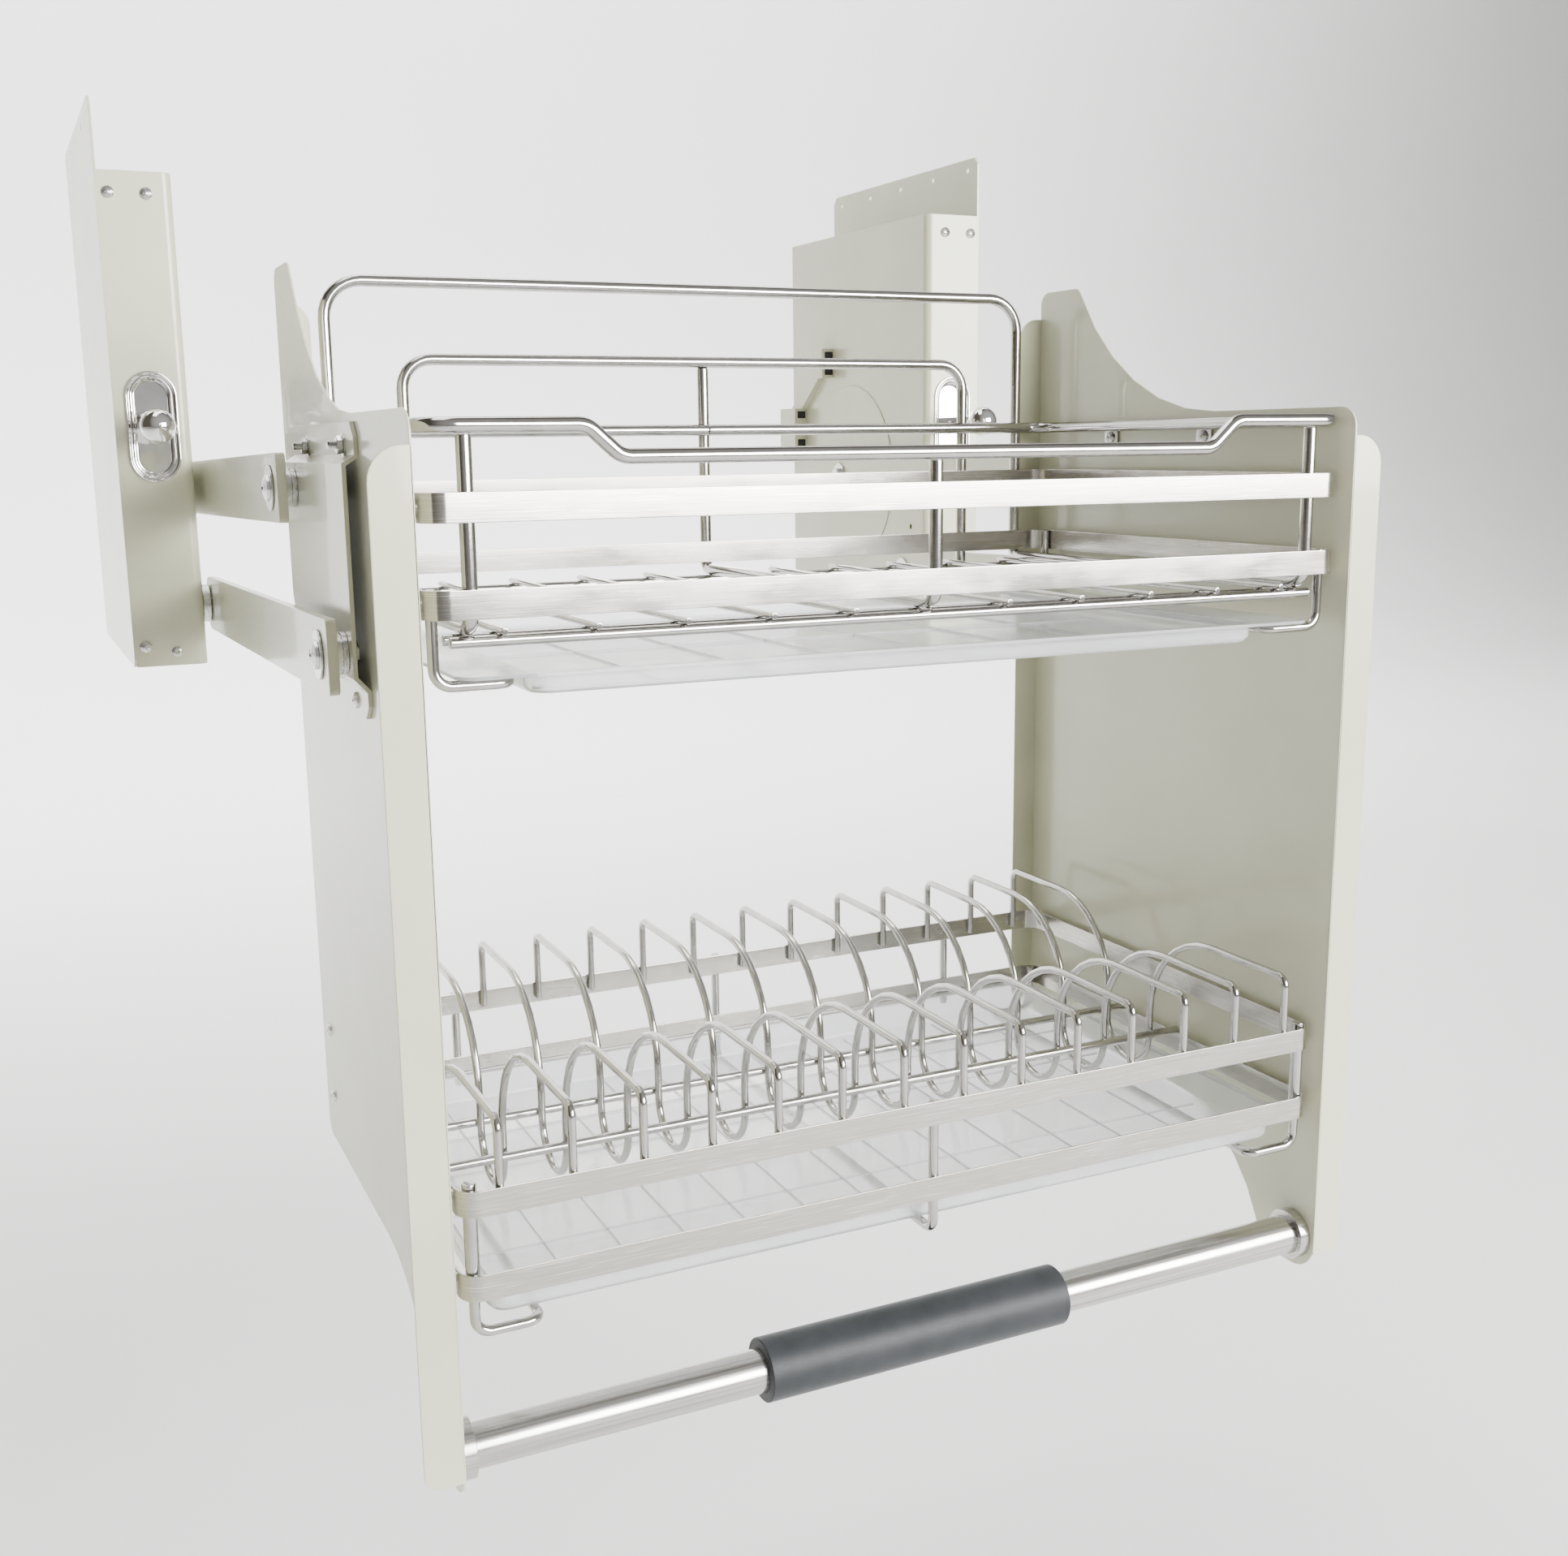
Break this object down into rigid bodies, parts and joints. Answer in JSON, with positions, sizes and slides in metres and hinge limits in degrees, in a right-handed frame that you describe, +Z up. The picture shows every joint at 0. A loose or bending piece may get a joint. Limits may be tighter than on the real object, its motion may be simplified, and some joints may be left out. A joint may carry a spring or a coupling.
{
  "type": "lift-up cabinet basket",
  "caption": "Tiered dish basket on spring-assisted parallel arms that swings down and out of a wall cabinet, with plate rack, drip trays and a pull handle.",
  "frame": {"origin": "midway between the two housings, in the plane of their front faces, level with their lowest edge", "axes": "+Z up, -Y out of the cabinet towards the user, +X to the user's right"},
  "size_m": [0.764, 0.88, 0.82],
  "materials": {
    "cream_paint": "gloss",
    "polished_steel": "polished",
    "brushed_band": "brushed",
    "chrome": "polished",
    "zinc_steel": "satin",
    "spring_steel": "satin",
    "black_rubber": "matt",
    "grey_grip": "matt",
    "white_plastic": "satin",
    "clear_tray": "gloss"
  },
  "bodies": {
    "housings": {"left_mounting_plate": "cream_paint", "right_mounting_plate": "cream_paint", "left_housing_cover": "cream_paint", "right_housing_cover": "cream_paint", "left_switch_plate": "chrome", "right_switch_plate": "chrome", "left_stop_bracket": "cream_paint", "right_stop_bracket": "cream_paint", "left_lift_springs": "spring_steel", "right_lift_springs": "spring_steel", "cover_screws": "zinc_steel", "cover_rivets": "zinc_steel", "stop_bumpers": "black_rubber", "shaft_bearings": "zinc_steel", "spring_anchor_pins": "zinc_steel", "crank_stops": "black_rubber", "lower_pivot_studs": "zinc_steel"},
    "right_upper_arm_body": {"right_upper_arm": "cream_paint", "right_lift_crank": "zinc_steel", "right_shaft_bolt": "zinc_steel"},
    "left_upper_arm_body": {"left_upper_arm": "cream_paint", "left_lift_crank": "zinc_steel", "left_shaft_bolt": "zinc_steel"},
    "right_lower_arm_body": {"right_lower_arm": "cream_paint"},
    "left_lower_arm_body": {"left_lower_arm": "cream_paint"},
    "basket": {"left_side_panel": "cream_paint", "right_side_panel": "cream_paint", "left_arm_bracket": "cream_paint", "right_arm_bracket": "cream_paint", "bracket_bolts": "zinc_steel", "front_pivot_bolts": "zinc_steel", "front_pivot_bushes": "white_plastic", "front_pivot_washers": "white_plastic", "upper_band_top": "brushed_band", "upper_band_bottom": "brushed_band", "lower_band_top": "brushed_band", "lower_band_bottom": "brushed_band", "band_screws": "zinc_steel", "top_rail": "polished_steel", "high_guard": "polished_steel", "low_guard": "polished_steel", "middle_bar": "polished_steel", "upper_floor_wires": "polished_steel", "upper_tray_cradle": "polished_steel", "lower_posts": "polished_steel", "plate_wires": "polished_steel", "plate_rods": "polished_steel", "middle_support": "polished_steel", "lower_tray_cradle": "polished_steel", "lower_drip_tray": "clear_tray", "handle_tube": "chrome", "handle_grip": "grey_grip", "handle_collars": "chrome", "handle_screws": "zinc_steel"},
    "upper_tray": {"upper_drip_tray": "clear_tray"},
    "right_knob_body": {"right_knob": "chrome"},
    "left_knob_body": {"left_knob": "chrome"}
  },
  "joints": [
    {"name": "lift", "type": "hinge", "parent": "housings", "child": "right_upper_arm_body", "pos_m": [0.317, 0.152, 0.135], "axis": [-1, 0, 0], "range_deg": [0, 96], "deforming": ["right_lift_springs"]},
    {"name": "basket_level", "type": "hinge", "parent": "right_upper_arm_body", "child": "basket", "pos_m": [0.317, -0.321, 0.1425], "axis": [-1, 0, 0], "range_deg": [-96, 0]},
    {"name": "left_upper_swing", "type": "hinge", "parent": "housings", "child": "left_upper_arm_body", "pos_m": [-0.317, 0.152, 0.135], "axis": [-1, 0, 0], "range_deg": [0, 96], "deforming": ["left_lift_springs"]},
    {"name": "right_lower_swing", "type": "hinge", "parent": "housings", "child": "right_lower_arm_body", "pos_m": [0.317, 0.022, 0.046], "axis": [-1, 0, 0], "range_deg": [0, 96]},
    {"name": "left_lower_swing", "type": "hinge", "parent": "housings", "child": "left_lower_arm_body", "pos_m": [-0.317, 0.022, 0.046], "axis": [-1, 0, 0], "range_deg": [0, 96]},
    {"name": "upper_tray_slide", "type": "slide", "parent": "basket", "child": "upper_tray", "axis": [0, -1, 0], "range_m": [0, 0.3]},
    {"name": "right_knob_push", "type": "slide", "parent": "housings", "child": "right_knob_body", "axis": [0, 1, 0], "range_m": [0, 0.02]},
    {"name": "left_knob_pull", "type": "slide", "parent": "housings", "child": "left_knob_body", "axis": [0, -1, 0], "range_m": [0, 0.02]}
  ],
  "couplings": [
    {"joint": "basket_level", "follows": "lift", "ratio": -1},
    {"joint": "left_upper_swing", "follows": "lift", "ratio": 1},
    {"joint": "right_lower_swing", "follows": "lift", "ratio": 1},
    {"joint": "left_lower_swing", "follows": "lift", "ratio": 1}
  ]
}
